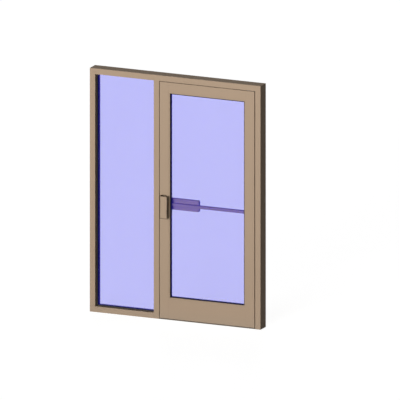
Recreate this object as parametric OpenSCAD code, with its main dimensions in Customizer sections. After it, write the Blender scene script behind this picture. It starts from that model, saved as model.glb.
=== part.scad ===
// Aluminium entrance frame with one glazed sidelight and a single glazed leaf on centre-hung pivots.
// Millimetres. X = 0 is the middle of the width, Y = 0 the middle of the frame depth with the street
// side toward -Y, Z = 0 the finished floor.

/* [Frame] */
// overall width between the wall faces
overall_w = 1625.6; // [1300:0.1:2200]
// overall height from the floor to the top of the head
overall_h = 2184.4; // [1900:0.1:2700]
// depth of every frame tube
frame_d = 114.3; // [100:0.1:160]
// face width of every frame tube
frame_face = 50.8; // [44:0.1:76]
// clear width of the doorway between mullion and hinge jamb
doorway_w = 914.4; // [760:0.1:1100]
// wall thickness of the frame tubes
frame_wall = 3; // [2:0.1:4]
// thickness of the plates that close the tube ends
plug_t = 3; // [2:0.1:6]

/* [Sidelight glazing] */
// width of the glazing pocket between its two lips
pocket_w = 38.1; // [34:0.1:44]
// depth of the glazing pocket below the sightline
pocket_depth = 16; // [13:0.1:20]
// how far the glass reaches past the sightline
glass_bite = 11; // [8:0.1:13]
// how far the gaskets reach into the pocket
gasket_reach = 8; // [5:0.1:11]
// how far a gasket lip shows inside the sightline
gasket_lip = 1; // [0.5:0.1:2]
// wall of the snap-in glass stops on head and sill
glass_stop_wall = 2; // [1.5:0.1:3]

/* [Glass unit] */
// thickness of one pane
pane_t = 6; // [4:0.1:8]
// thickness of the whole insulated unit
unit_t = 25.4; // [22:0.1:28]
// how far the spacer sits inside the glass edge
spacer_inset = 2; // [1:0.1:3]
// width of the spacer seen flat on
spacer_w = 6.5; // [5:0.1:8]
// length of one setting block under the glass
block_len = 100; // [60:1:150]

/* [Leaf] */
// thickness of the leaf
leaf_t = 44.45; // [40:0.05:50]
// running gap between leaf and mullion
lock_gap = 5.5; // [5:0.1:8]
// running gap between the heel of the leaf and the hinge jamb
heel_gap = 5; // [5:0.1:8]
// running gap over the leaf
top_gap = 5; // [5:0.1:8]
// running gap between threshold and leaf
bottom_gap = 5; // [5:0.1:8]
// distance from the doorway side to the inner edge of a stile
stile_line = 88.9; // [70:0.1:130]
// distance from the doorway head to the lower edge of the top rail
top_rail_line = 88.9; // [70:0.1:130]
// height of the bottom rail
bottom_rail_h = 177.8; // [150:0.1:260]
// wall thickness of stiles and rails
leaf_wall = 3; // [2:0.1:4]
// face width of the glass stops of the leaf
leaf_stop_w = 12.7; // [10:0.1:18]
// how far the glass stops sit behind the leaf faces
leaf_stop_setback = 1; // [0.5:0.1:3]
// thickness of the gaskets of the leaf
leaf_gasket_t = 3; // [2:0.1:4]
// room round the glass edge inside the leaf
leaf_edge_room = 3; // [2:0.1:5]
// joint between two butting glass stops
butt_gap = 0.3; // [0.2:0.1:0.6]

/* [Threshold and stops] */
// how far the threshold stays back from the frame faces
threshold_inset = 3.15; // [1:0.05:8]
// height of the threshold
threshold_h = 6.35; // [5:0.05:13]
// height of the threshold at its bevelled edges
threshold_edge_h = 2; // [1.5:0.1:4]
// run of the threshold bevels
threshold_bevel = 8; // [5:0.1:20]
// distance between the flutes of the threshold
flute_pitch = 6; // [4:0.1:12]
// width of one flute
flute_w = 2.6; // [1.5:0.1:3.5]
// depth of one flute
flute_depth = 0.8; // [0.4:0.1:1.2]
// how far the door stops stand out into the doorway
door_stop_out = 16; // [12:0.1:20]
// depth of the door stops
door_stop_d = 19; // [14:0.1:26]
// wall of the door stops
door_stop_wall = 2; // [1.5:0.1:3]
// room between the leaf and the face of the door stops
door_stop_room = 6; // [6:0.1:9]
// width of the weather seal on the door stops
seal_w = 7; // [5:0.1:9]
// how far the weather seal stands proud of the door stops
seal_proud = 1; // [0.5:0.1:1]
// distance from the edge of a door stop to its seal
seal_inset = 4; // [2:0.1:6]
// free length of the head between pivot axis and door stop
head_stop_short = 80; // [75:1:140]

/* [Pivots] */
// distance from the hinge jamb to the pivot axis
pivot_setback = 70; // [66:0.1:80]
// radius of the pivot pins
pin_r = 8; // [6:0.1:9]
// running room round a pin in its bore
pin_room = 0.1; // [0.1:0.05:0.3]
// radius of the thrust collars
collar_r = 10.5; // [9:0.1:11]
// running room between a collar and the leaf
collar_room = 0.5; // [0.3:0.1:1]
// how far the pins reach into the leaf
pin_reach = 20; // [14:0.1:30]
// height of the pivot shoes inside the hinge stile
shoe_h = 32; // [24:0.1:60]
// length of the pivot plates
pivot_plate_len = 90; // [60:1:120]
// width of the pivot plates
pivot_plate_w = 22; // [20:0.1:26]
// how far the flange of the top pivot laps the head inside
pivot_flange_lap = 6; // [4:0.1:10]
// thickness of the flange of the top pivot
pivot_flange_t = 3; // [2:0.1:5]
// height of the top pivot body above its flange
pivot_body_h = 14; // [8:0.1:20]

/* [Pull] */
// distance from the leaf edge at the lock side to the pull
pull_edge_room = 19.9; // [12:0.1:30]
// face width of the pull
pull_w = 73; // [60:0.1:80]
// length of the pull
pull_len = 203.2; // [160:0.1:400]
// height of the middle of the pull
pull_z = 1016; // [900:1:1100]
// depth of the pull
pull_d = 50.8; // [42:0.1:64]
// width of the base flange of the pull on the stile
pull_base_w = 45; // [36:0.1:52]
// thickness of the base flange
pull_base_t = 4; // [3:0.1:6]
// thickness of the grip plate of the pull
pull_grip_t = 5; // [3.5:0.1:7]
// thickness of the web that joins flange and grip
pull_web_t = 8; // [5:0.1:11]
// radius of the round bead along the free edge of the grip
pull_bead_r = 4.5; // [3.8:0.1:6]
// radius of the outer corner between web and grip
pull_corner_r = 7; // [3:0.1:9]
// radius of the fillets inside the pull
pull_fillet_r = 4; // [2:0.1:6]

/* [Exit device] */
// height of the middle of the device
device_z = 1027; // [900:1:1100]
// height of the crossbar
bar_h = 25.4; // [20:0.1:32]
// depth of the crossbar
bar_d = 25.4; // [18:0.1:30]
// wall of the crossbar
bar_wall = 2; // [1.5:0.1:3]
// distance from the leaf edge at the lock side to the device
device_edge_room = 21.9; // [18:0.1:40]
// distance from the pivot axis to the far end of the crossbar, measured toward the jamb
bar_past_pivot = 24; // [15:0.1:28]
// length of the housing
housing_len = 324; // [250:1:600]
// height of the housing
housing_h = 101.6; // [90:0.1:120]
// wall of the housing round the pad
housing_wall = 3; // [2:0.1:4]
// floor of the housing, on the crossbar
housing_floor = 3; // [2:0.1:5]
// corner radius of the housing
housing_r = 12; // [9:0.1:20]
// width of the bevel along the rim of the housing
housing_bevel = 1.2; // [0.5:0.1:1.8]
// wall of the push pad
pad_wall = 2.5; // [2:0.1:4]
// corner radius of the push pad
pad_r = 7; // [5:0.1:12]
// width of the bevel round the face of the push pad
pad_bevel = 2; // [1:0.1:2.4]
// how much the face of the push pad is crowned
pad_crown = 3; // [1:0.1:5]
// how far the resting pad stands out of its housing
pad_proud = 20; // [17:0.1:26]
// how far the rim of the resting pad sits inside its housing
pad_lap = 4; // [2:0.1:8]
// travel of the push pad toward the leaf
pad_travel = 12; // [6:0.1:14]
// running room between the push pad and the wall round it
pad_room = 5.5; // [5:0.1:8]
// room left behind the push pad when it is pressed
press_room = 5; // [5:0.1:8]
// radius of the two plungers behind the push pad
plunger_r = 6; // [4:0.1:7]
// running room round a plunger in its bore
plunger_room = 0.2; // [0.1:0.05:0.4]
// material round the bore of a plunger
boss_wall = 3.8; // [2.5:0.1:6]
// material left at the bottom of such a bore
bore_floor = 1; // [0.8:0.1:2]
// room behind a plunger when the pad is pressed
plunger_end_room = 1.5; // [1:0.1:3]
// length of the feet of the housing on the lock stile
foot_len = 47; // [30:1:55]
// height of each foot
foot_h = 20; // [12:0.1:24]
// distance from a foot to the level edge of the housing
foot_inset = 8; // [6:0.1:12]
// corner radius of the feet
foot_r = 5; // [2:0.1:6]
// length of the end bracket of the crossbar
bracket_len = 30; // [22:0.1:40]
// closed end of the bracket past the crossbar
bracket_end = 8; // [4:0.1:10]
// material of the bracket round the crossbar
bracket_wall = 3.5; // [2.5:0.1:6]
// corner radius of the bracket
bracket_r = 6; // [3:0.1:8]
// width of the bevel round the face of the bracket
bracket_bevel = 1.5; // [0.5:0.1:2]

/* [Hidden] */
// how far a cutting solid runs past the face it opens
cut_past = 1;
// places of the setting blocks along the glass
block_shares = [0.25, 0.75];
// places of the plungers along the pad
plunger_shares = [0.2, 0.8];

half_w = overall_w / 2;
frame_y = [-frame_d / 2, frame_d / 2];
full_z = [0, overall_h];
opening_top = overall_h - frame_face;
door_x = [half_w - frame_face - doorway_w, half_w - frame_face];
mullion_x = [door_x[0] - frame_face, door_x[0]];
lite_x = [-half_w + frame_face, mullion_x[0]];
lite_z = [frame_face, opening_top];
pocket_y = [-pocket_w / 2, pocket_w / 2];
unit_y = [-unit_t / 2, unit_t / 2];
lite_glass_x = [lite_x[0] - glass_bite, lite_x[1] + glass_bite];
lite_glass_z = [lite_z[0] - glass_bite, lite_z[1] + glass_bite];

threshold_y = wider(frame_y, -threshold_inset);
flutes = floor((threshold_y[1] - threshold_y[0] - 2 * threshold_bevel) / flute_pitch);

leaf_y = [frame_y[0], frame_y[0] + leaf_t];
leaf_mid_y = (leaf_y[0] + leaf_y[1]) / 2;
leaf_x0 = door_x[0] + lock_gap;
leaf_z = [threshold_h + bottom_gap, opening_top - top_gap];
pivot_x = door_x[1] - pivot_setback;
heel_r = pivot_setback - heel_gap;
lock_stile_x = [leaf_x0, door_x[0] + stile_line];
hinge_stile_x = [door_x[1] - stile_line, pivot_x + heel_r];
field_x = [lock_stile_x[1], hinge_stile_x[0]];
field_z = [leaf_z[0] + bottom_rail_h, opening_top - top_rail_line];
leaf_unit_y = [leaf_mid_y - unit_t / 2, leaf_mid_y + unit_t / 2];
leaf_glass_x = [field_x[0] + leaf_edge_room, field_x[1] - leaf_edge_room];
leaf_glass_z = [field_z[0] + leaf_edge_room, field_z[1] - leaf_edge_room];

stop_y = [leaf_y[1] + door_stop_room, leaf_y[1] + door_stop_room + door_stop_d];
lock_stop_x = [door_x[0], door_x[0] + door_stop_out];
head_stop_z = [opening_top - door_stop_out, opening_top];
head_stop_x = [lock_stop_x[1], pivot_x - head_stop_short];

pull_x = [leaf_x0 + pull_edge_room, leaf_x0 + pull_edge_room + pull_w];
pull_y = [leaf_y[0] - pull_d, leaf_y[0]];
pull_span_z = [pull_z - pull_len / 2, pull_z + pull_len / 2];

bar_x = [leaf_x0 + device_edge_room, pivot_x + bar_past_pivot];
bar_y = [leaf_y[1], leaf_y[1] + bar_d];
bar_z = [device_z - bar_h / 2, device_z + bar_h / 2];
housing_x = [bar_x[0], bar_x[0] + housing_len];
housing_y = [bar_y[1], bar_y[1] + housing_floor + press_room + pad_travel + pad_lap];
housing_z = [device_z - housing_h / 2, device_z + housing_h / 2];
pad_x = wider(housing_x, -housing_wall - pad_room);
pad_y = [housing_y[1] - pad_lap, housing_y[1] + pad_proud];
pad_z = wider(housing_z, -housing_wall - pad_room);
crown_r = (pow((pad_z[1] - pad_z[0]) / 2, 2) + pow(pad_crown, 2)) / (2 * pad_crown);
boss_top = pad_y[1] - pad_wall - pad_travel - press_room;
bore_bottom = housing_y[0] + bore_floor;

$fn = 96;

// shared shapes

// a box between two planes on each axis
module bar(xs, ys, zs)
    translate([min(xs), min(ys), min(zs)])
        cube([max(xs) - min(xs), max(ys) - min(ys), max(zs) - min(zs)]);

// a rectangle between two lines on each axis
module flat(xs, ys)
    translate([min(xs), min(ys)]) square([max(xs) - min(xs), max(ys) - min(ys)]);

// what rounds a corner at x, y whose sides run toward sx and sy, left of the arc that touches both
module fillet(x, y, sx, sy, r)
    difference() {
        flat([x, x + sx * r], [y, y + sy * r]);
        translate([x + sx * r, y + sy * r]) circle(r = r);
    }

// two planes moved apart by the same amount
function wider(s, by) = [s[0] - by, s[1] + by];

// a rectangular ring seen from the front, w wide
module ring(xs, ys, zs, w)
    difference() {
        bar(xs, ys, zs);
        bar(wider(xs, -w), wider(ys, cut_past), wider(zs, -w));
    }

// an upright tube with a glazing pocket in the side x_in
module glazed_upright(x_out, x_in) {
    s = x_in > x_out ? 1 : -1;
    x_floor = x_in - s * pocket_depth;
    x_chamber = x_out + s * frame_wall;
    difference() {
        bar([x_out, x_in], frame_y, full_z);
        bar([x_floor, x_in + s * cut_past], pocket_y, wider(full_z, cut_past));
        bar([x_chamber, x_floor - s * frame_wall], wider(frame_y, -frame_wall), wider(full_z, cut_past));
        for (side = [-1, 1])
            bar([x_chamber, x_in - s * frame_wall],
                [side * (frame_d / 2 - frame_wall), side * (pocket_w / 2 + frame_wall)],
                wider(full_z, cut_past));
    }
}

// the plates that close both ends of such an upright and of its pocket
module glazed_upright_plugs(x_out, x_in) {
    s = x_in > x_out ? 1 : -1;
    x_floor = x_in - s * pocket_depth;
    x_chamber = x_out + s * frame_wall;
    for (z0 = [0, overall_h - plug_t]) {
        bar([x_floor, x_in], pocket_y, [z0, z0 + plug_t]);
        difference() {
            bar([x_chamber, x_in - s * frame_wall], wider(frame_y, -frame_wall), [z0, z0 + plug_t]);
            bar([x_floor - s * frame_wall, x_in], wider(pocket_y, frame_wall),
                wider([z0, z0 + plug_t], cut_past));
        }
    }
}

// a level tube of the sidelight with its pocket toward z_in and a seat for the snap-in stop
module glazed_level(z_out, z_in) {
    t = z_in > z_out ? 1 : -1;
    z_floor = z_in - t * pocket_depth;
    xs = wider(lite_x, cut_past);
    difference() {
        bar(lite_x, frame_y, [z_out, z_in]);
        bar(xs, [pocket_y[0], frame_y[1] + cut_past], [z_floor, z_in + t * cut_past]);
        bar(xs, wider(frame_y, -frame_wall), [z_out + t * frame_wall, z_floor - t * frame_wall]);
        bar(xs, [frame_y[0] + frame_wall, pocket_y[0] - frame_wall],
            [z_out + t * frame_wall, z_in - t * frame_wall]);
    }
}

// the snap-in channel that holds the glass at the inner side of such a tube
module level_stop(z_in, t) {
    z_floor = z_in - t * pocket_depth;
    difference() {
        bar(lite_x, [pocket_y[1], frame_y[1]], [z_floor, z_in]);
        bar(wider(lite_x, cut_past), [pocket_y[1] + glass_stop_wall, frame_y[1] - glass_stop_wall],
            [z_floor - t * cut_past, z_in - t * glass_stop_wall]);
    }
}

// two blocks the glass stands on
module setting_blocks(xs, ys, zs)
    for (k = block_shares)
        bar([xs[0] + k * (xs[1] - xs[0]) - block_len / 2, xs[0] + k * (xs[1] - xs[0]) + block_len / 2], ys, zs);

// the spacer between the two panes of a unit
module unit_spacer(xs, ys, zs)
    ring(wider(xs, -spacer_inset), wider(ys, -pane_t), wider(zs, -spacer_inset), spacer_w);

// a tube between the stiles of the leaf
module leaf_rail(zs)
    difference() {
        bar(field_x, leaf_y, zs);
        bar(wider(field_x, cut_past), wider(leaf_y, -leaf_wall), wider(zs, -leaf_wall));
    }

// the section of the hinge stile, rounded about the pivot axis, drawn in by a wall
module heel_bar(inset, zs)
    intersection() {
        bar(wider(hinge_stile_x, -inset), wider(leaf_y, -inset), zs);
        translate([pivot_x, leaf_mid_y, zs[0]]) cylinder(r = heel_r - inset, h = zs[1] - zs[0]);
    }

// a cylinder on the pivot axis
module on_pivot(r, zs) translate([pivot_x, leaf_mid_y, zs[0]]) cylinder(r = r, h = zs[1] - zs[0]);

// a plate centred on the pivot axis
module pivot_plate(len, w, zs)
    bar([pivot_x - len / 2, pivot_x + len / 2], [leaf_mid_y - w / 2, leaf_mid_y + w / 2], zs);

// four strips round the field of the leaf, level ones running through
module leaf_stops(ys) {
    for (z = [field_z[0], field_z[1] - leaf_stop_w]) bar(field_x, ys, [z, z + leaf_stop_w]);
    for (x = [field_x[0], field_x[1] - leaf_stop_w])
        bar([x, x + leaf_stop_w], ys, wider(field_z, -leaf_stop_w - butt_gap));
}

// a round rod along Y
module rod_y(x, z, r, ys) translate([x, ys[0], z]) rotate([-90, 0, 0]) cylinder(r = r, h = ys[1] - ys[0]);

// a box with its four corners rounded in the front view
module round_box(xs, ys, zs, r) {
    bar(wider(xs, -r), ys, zs);
    bar(xs, ys, wider(zs, -r));
    for (x = wider(xs, -r), z = wider(zs, -r)) rod_y(x, z, r, ys);
}

// such a box whose edges round its far face along +Y are bevelled
module bevel_box(xs, ys, zs, r, bevel) {
    y_in = ys[1] - bevel;
    round_box(xs, [ys[0], y_in], zs, r);
    translate([xs[0] + r, 0, 0]) rotate([90, 0, 90]) linear_extrude(xs[1] - xs[0] - 2 * r)
        polygon([[y_in, zs[0]], [y_in, zs[1]], [ys[1], zs[1] - bevel], [ys[1], zs[0] + bevel]]);
    translate([0, 0, zs[0] + r]) linear_extrude(zs[1] - zs[0] - 2 * r)
        polygon([[xs[0], y_in], [xs[1], y_in], [xs[1] - bevel, ys[1]], [xs[0] + bevel, ys[1]]]);
    for (x = wider(xs, -r), z = wider(zs, -r))
        translate([x, y_in, z]) rotate([-90, 0, 0]) cylinder(r1 = r, r2 = r - bevel, h = bevel);
}

// the two plunger rods or their bores
module plungers(r, ys)
    for (k = plunger_shares) rod_y(pad_x[0] + k * (pad_x[1] - pad_x[0]), device_z, r, ys);

// the space under the crowned face of the pad, drawn in by a wall
module under_crown(inset)
    translate([pad_x[0] - cut_past, pad_y[1] - crown_r, device_z]) rotate([0, 90, 0])
        cylinder(r = crown_r - inset, h = pad_x[1] - pad_x[0] + 2 * cut_past);

// frame

module left_jamb() color("#ab957f") glazed_upright(-half_w, lite_x[0]);

module mullion() color("#ab957f") glazed_upright(mullion_x[1], mullion_x[0]);

module hinge_jamb() color("#ab957f")
    difference() {
        bar([door_x[1], half_w], frame_y, full_z);
        bar(wider([door_x[1], half_w], -frame_wall), wider(frame_y, -frame_wall), wider(full_z, cut_past));
    }

module sidelight_head() color("#ab957f") glazed_level(overall_h, lite_z[1]);

module sidelight_sill() color("#ab957f") glazed_level(0, lite_z[0]);

module door_header() color("#ab957f")
    difference() {
        bar(door_x, frame_y, [opening_top, overall_h]);
        bar(wider(door_x, cut_past), wider(frame_y, -frame_wall), wider([opening_top, overall_h], -frame_wall));
        pivot_plate(pivot_plate_len, pivot_plate_w, [opening_top - cut_past, opening_top + frame_wall + cut_past]);
    }

module tube_end_plugs() color("#9c8873") {
    glazed_upright_plugs(-half_w, lite_x[0]);
    glazed_upright_plugs(mullion_x[1], mullion_x[0]);
    for (z0 = [0, overall_h - plug_t])
        bar(wider([door_x[1], half_w], -frame_wall), wider(frame_y, -frame_wall), [z0, z0 + plug_t]);
}

module head_glass_stop() color("#a58f79") level_stop(lite_z[1], -1);

module sill_glass_stop() color("#a58f79") level_stop(lite_z[0], 1);

module sidelight_pane_outer() color("#bfbffd", 0.35)
    bar(lite_glass_x, [unit_y[0], unit_y[0] + pane_t], lite_glass_z);

module sidelight_pane_inner() color("#bfbffd", 0.35)
    bar(lite_glass_x, [unit_y[1] - pane_t, unit_y[1]], lite_glass_z);

module sidelight_spacer() color("#5a5a60") unit_spacer(lite_glass_x, unit_y, lite_glass_z);

module sidelight_gasket(ys)
    ring(wider(lite_x, gasket_reach), ys, wider(lite_z, gasket_reach), gasket_reach + gasket_lip);

module sidelight_gasket_outer() color("#1c1c1c") sidelight_gasket([pocket_y[0], unit_y[0]]);

module sidelight_gasket_inner() color("#1c1c1c") sidelight_gasket([unit_y[1], pocket_y[1]]);

module sidelight_setting_blocks() color("#1c1c1c")
    setting_blocks(lite_glass_x, unit_y, [lite_z[0] - pocket_depth, lite_glass_z[0]]);

module head_door_stop() color("#a58f79")
    difference() {
        bar(head_stop_x, stop_y, head_stop_z);
        bar(wider(head_stop_x, -door_stop_wall), wider(stop_y, -door_stop_wall),
            [head_stop_z[0] + door_stop_wall, head_stop_z[1] + cut_past]);
    }

module lock_door_stop() color("#a58f79")
    difference() {
        bar(lock_stop_x, stop_y, [threshold_h, opening_top]);
        bar([lock_stop_x[0] - cut_past, lock_stop_x[1] - door_stop_wall], wider(stop_y, -door_stop_wall),
            wider([threshold_h, opening_top], -door_stop_wall));
    }

module stop_seals() color("#1c1c1c") {
    ys = [stop_y[0] - seal_proud, stop_y[0]];
    bar([lock_stop_x[1] - seal_inset - seal_w, lock_stop_x[1] - seal_inset], ys, [threshold_h, opening_top]);
    bar(head_stop_x, ys, [head_stop_z[0] + seal_inset, head_stop_z[0] + seal_inset + seal_w]);
}

// a bevelled saddle with flutes along it
module threshold() color("#8d7f70")
    difference() {
        translate([door_x[0], 0, 0]) rotate([90, 0, 90]) linear_extrude(door_x[1] - door_x[0])
            polygon([
                [threshold_y[0], 0], [threshold_y[1], 0], [threshold_y[1], threshold_edge_h],
                [threshold_y[1] - threshold_bevel, threshold_h],
                for (k = [flutes - 1:-1:0], p = [[flute_w / 2, 0], [0, -flute_depth], [-flute_w / 2, 0]])
                    [(k - (flutes - 1) / 2) * flute_pitch + p[0], threshold_h + p[1]],
                [threshold_y[0] + threshold_bevel, threshold_h], [threshold_y[0], threshold_edge_h]]);
        pivot_plate(pivot_plate_len, pivot_plate_w, wider([0, threshold_h], cut_past));
    }

module bottom_pivot() color("#8a8a8c") {
    pivot_plate(pivot_plate_len, pivot_plate_w, [0, threshold_h]);
    on_pivot(collar_r, [0, leaf_z[0] - collar_room]);
    on_pivot(pin_r, [0, leaf_z[0] + pin_reach]);
}

module top_pivot() color("#8a8a8c") {
    pivot_plate(pivot_plate_len, pivot_plate_w, [opening_top, opening_top + frame_wall]);
    pivot_plate(pivot_plate_len + 2 * pivot_flange_lap, pivot_plate_w + 2 * pivot_flange_lap,
        [opening_top + frame_wall, opening_top + frame_wall + pivot_flange_t]);
    on_pivot(collar_r, [leaf_z[1] + collar_room, opening_top + frame_wall + pivot_flange_t + pivot_body_h]);
    on_pivot(pin_r, [leaf_z[1] - pin_reach, opening_top + frame_wall]);
}

// leaf

module lock_stile() color("#ab957f")
    difference() {
        bar(lock_stile_x, leaf_y, leaf_z);
        bar(wider(lock_stile_x, -leaf_wall), wider(leaf_y, -leaf_wall), wider(leaf_z, cut_past));
    }

module lock_stile_plugs() color("#9c8873")
    for (z0 = [leaf_z[0], leaf_z[1] - plug_t])
        bar(wider(lock_stile_x, -leaf_wall), wider(leaf_y, -leaf_wall), [z0, z0 + plug_t]);

module hinge_stile() color("#ab957f")
    difference() {
        heel_bar(0, leaf_z);
        heel_bar(leaf_wall, wider(leaf_z, cut_past));
    }

module top_rail() color("#ab957f") leaf_rail([field_z[1], leaf_z[1]]);

module bottom_rail() color("#ab957f") leaf_rail([leaf_z[0], field_z[0]]);

module outer_glass_stops() color("#a58f79")
    leaf_stops([leaf_y[0] + leaf_stop_setback, leaf_unit_y[0] - leaf_gasket_t]);

module inner_glass_stops() color("#a58f79")
    leaf_stops([leaf_unit_y[1] + leaf_gasket_t, leaf_y[1] - leaf_stop_setback]);

module leaf_pane_outer() color("#bfbffd", 0.35)
    bar(leaf_glass_x, [leaf_unit_y[0], leaf_unit_y[0] + pane_t], leaf_glass_z);

module leaf_pane_inner() color("#bfbffd", 0.35)
    bar(leaf_glass_x, [leaf_unit_y[1] - pane_t, leaf_unit_y[1]], leaf_glass_z);

module leaf_spacer() color("#5a5a60") unit_spacer(leaf_glass_x, leaf_unit_y, leaf_glass_z);

module leaf_gasket(ys) ring(leaf_glass_x, ys, leaf_glass_z, leaf_stop_w - leaf_edge_room + gasket_lip);

module leaf_gasket_outer() color("#1c1c1c") leaf_gasket([leaf_unit_y[0] - leaf_gasket_t, leaf_unit_y[0]]);

module leaf_gasket_inner() color("#1c1c1c") leaf_gasket([leaf_unit_y[1], leaf_unit_y[1] + leaf_gasket_t]);

module leaf_setting_blocks() color("#1c1c1c")
    setting_blocks(leaf_glass_x, leaf_unit_y, [field_z[0], leaf_glass_z[0]]);

module pivot_shoe(zs)
    difference() {
        heel_bar(leaf_wall, zs);
        on_pivot(pin_r + pin_room, wider(zs, cut_past));
    }

module bottom_pivot_shoe() color("#8a8a8c") pivot_shoe([leaf_z[0], leaf_z[0] + shoe_h]);

module top_pivot_shoe() color("#8a8a8c") pivot_shoe([leaf_z[1] - shoe_h, leaf_z[1]]);

// the extruded section of the pull, seen from above
module pull_section() {
    web_x = pull_x[0] + pull_web_t;
    grip_y = pull_y[0] + pull_grip_t;
    base_y = pull_y[1] - pull_base_t;
    difference() {
        union() {
            flat([pull_x[0], pull_x[1] - pull_bead_r], [pull_y[0], grip_y]);
            flat([pull_x[0], web_x], pull_y);
            flat([pull_x[0], pull_x[0] + pull_base_w], [base_y, pull_y[1]]);
            fillet(web_x, grip_y, 1, 1, pull_fillet_r);
            fillet(web_x, base_y, 1, -1, pull_fillet_r);
        }
        fillet(pull_x[0], pull_y[0], 1, 1, pull_corner_r);
    }
    translate([pull_x[1] - pull_bead_r, pull_y[0] + pull_bead_r]) circle(r = pull_bead_r);
}

module pull_handle() color("#ab957f")
    translate([0, 0, pull_span_z[0]]) linear_extrude(pull_len) pull_section();

// exit device

module exit_crossbar() color("#ab957f")
    difference() {
        bar(bar_x, bar_y, bar_z);
        bar(wider(bar_x, cut_past), wider(bar_y, -bar_wall), wider(bar_z, -bar_wall));
    }

module crossbar_plug() color("#9c8873")
    bar([bar_x[0], bar_x[0] + plug_t], wider(bar_y, -bar_wall), wider(bar_z, -bar_wall));

module crossbar_bracket() color("#a58f79")
    difference() {
        bevel_box([bar_x[1] + bracket_end - bracket_len, bar_x[1] + bracket_end],
            [bar_y[0], bar_y[1] + bracket_wall], wider(bar_z, bracket_wall), bracket_r, bracket_bevel);
        bar([bar_x[0], bar_x[1]], [bar_y[0] - cut_past, bar_y[1]], bar_z);
    }

// an open housing round the pad, with a guide boss for each plunger and two feet on the lock stile
module device_chassis() color("#9c8873")
    difference() {
        union() {
            difference() {
                bevel_box(housing_x, housing_y, housing_z, housing_r, housing_bevel);
                round_box(wider(housing_x, -housing_wall), [housing_y[0] + housing_floor, housing_y[1] + cut_past],
                    wider(housing_z, -housing_wall), housing_r - housing_wall);
            }
            plungers(plunger_r + plunger_room + boss_wall, [housing_y[0] + housing_floor, boss_top]);
            for (z0 = [housing_z[0] + foot_inset, housing_z[1] - foot_inset - foot_h])
                round_box([housing_x[0], housing_x[0] + foot_len], [leaf_y[1], housing_y[0]],
                    [z0, z0 + foot_h], foot_r);
        }
        plungers(plunger_r + plunger_room, [bore_bottom, boss_top + cut_past]);
    }

// a hollow pad with a crowned face
module push_pad() color("#ab957f")
    difference() {
        intersection() {
            bevel_box(pad_x, pad_y, pad_z, pad_r, pad_bevel + pad_crown);
            under_crown(0);
        }
        intersection() {
            round_box(wider(pad_x, -pad_wall), [pad_y[0] - cut_past, pad_y[1]],
                wider(pad_z, -pad_wall), pad_r - pad_wall);
            under_crown(pad_wall);
        }
    }

module pad_plungers() color("#8a8a8c")
    intersection() {
        plungers(plunger_r, [bore_bottom + plunger_end_room + pad_travel, pad_y[1]]);
        under_crown(pad_wall);
    }

// what is drawn

left_jamb();
mullion();
hinge_jamb();
sidelight_head();
sidelight_sill();
door_header();
tube_end_plugs();
head_glass_stop();
sill_glass_stop();
sidelight_pane_outer();
sidelight_pane_inner();
sidelight_spacer();
sidelight_gasket_outer();
sidelight_gasket_inner();
sidelight_setting_blocks();
head_door_stop();
lock_door_stop();
stop_seals();
threshold();
bottom_pivot();
top_pivot();
lock_stile();
hinge_stile();
top_rail();
bottom_rail();
lock_stile_plugs();
outer_glass_stops();
inner_glass_stops();
leaf_pane_outer();
leaf_pane_inner();
leaf_spacer();
leaf_gasket_outer();
leaf_gasket_inner();
leaf_setting_blocks();
bottom_pivot_shoe();
top_pivot_shoe();
pull_handle();
exit_crossbar();
crossbar_plug();
crossbar_bracket();
device_chassis();
push_pad();
pad_plungers();
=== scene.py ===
"""Looks of a glazed aluminium entrance: one swinging leaf and one fixed sidelight.

The packed model is loaded as a fixed frame. The operators below give each of its pieces a
finish, add the rubber beads, the door seals and the screws, and set the studio with its camera.
"""

import math

import bpy
import numpy as np
from mathutils import Matrix, Vector


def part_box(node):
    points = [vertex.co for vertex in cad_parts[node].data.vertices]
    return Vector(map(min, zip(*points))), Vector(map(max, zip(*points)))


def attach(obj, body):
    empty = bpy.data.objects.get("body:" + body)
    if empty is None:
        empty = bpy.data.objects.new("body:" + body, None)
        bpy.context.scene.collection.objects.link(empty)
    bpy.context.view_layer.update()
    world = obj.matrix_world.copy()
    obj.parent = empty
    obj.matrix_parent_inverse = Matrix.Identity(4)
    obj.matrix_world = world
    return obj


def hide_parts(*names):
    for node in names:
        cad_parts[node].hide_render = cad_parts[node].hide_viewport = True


bl_info = {
    "name": "Glazed entrance with sidelight",
    "version": (1, 0, 0),
    "blender": (4, 5, 0),
    "location": "View3D > Sidebar > Entrance",
    "description": "Finishes, small fittings and studio of a glazed aluminium entrance",
    "category": "Object",
}

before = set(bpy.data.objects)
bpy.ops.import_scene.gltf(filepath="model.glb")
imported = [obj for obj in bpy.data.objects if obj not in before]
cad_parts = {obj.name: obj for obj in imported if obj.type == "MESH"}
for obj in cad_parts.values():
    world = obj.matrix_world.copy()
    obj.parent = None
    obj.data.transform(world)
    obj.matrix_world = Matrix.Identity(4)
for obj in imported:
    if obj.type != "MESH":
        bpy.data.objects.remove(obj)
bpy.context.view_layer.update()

UPRIGHT_NODES = ("left_jamb", "mullion", "hinge_jamb", "lock_stile", "hinge_stile",
                 "lock_door_stop", "tube_end_plugs", "lock_stile_plugs")
LEVEL_NODES = ("sidelight_head", "sidelight_sill", "door_header", "head_glass_stop",
               "sill_glass_stop", "head_door_stop", "top_rail", "bottom_rail",
               "outer_glass_stops", "inner_glass_stops")
HARDWARE_NODES = ("exit_crossbar", "crossbar_plug", "crossbar_bracket", "device_chassis",
                  "push_pad")
PULL_NODES = ("pull_handle",)
THRESHOLD_NODES = ("threshold",)
RUBBER_NODES = ("sidelight_gasket_outer", "sidelight_gasket_inner", "sidelight_setting_blocks",
                "leaf_gasket_outer", "leaf_gasket_inner", "leaf_setting_blocks", "stop_seals")
STEEL_NODES = ("bottom_pivot", "top_pivot", "bottom_pivot_shoe", "top_pivot_shoe", "pad_plungers")
SPACER_NODES = ("sidelight_spacer", "leaf_spacer")
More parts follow.
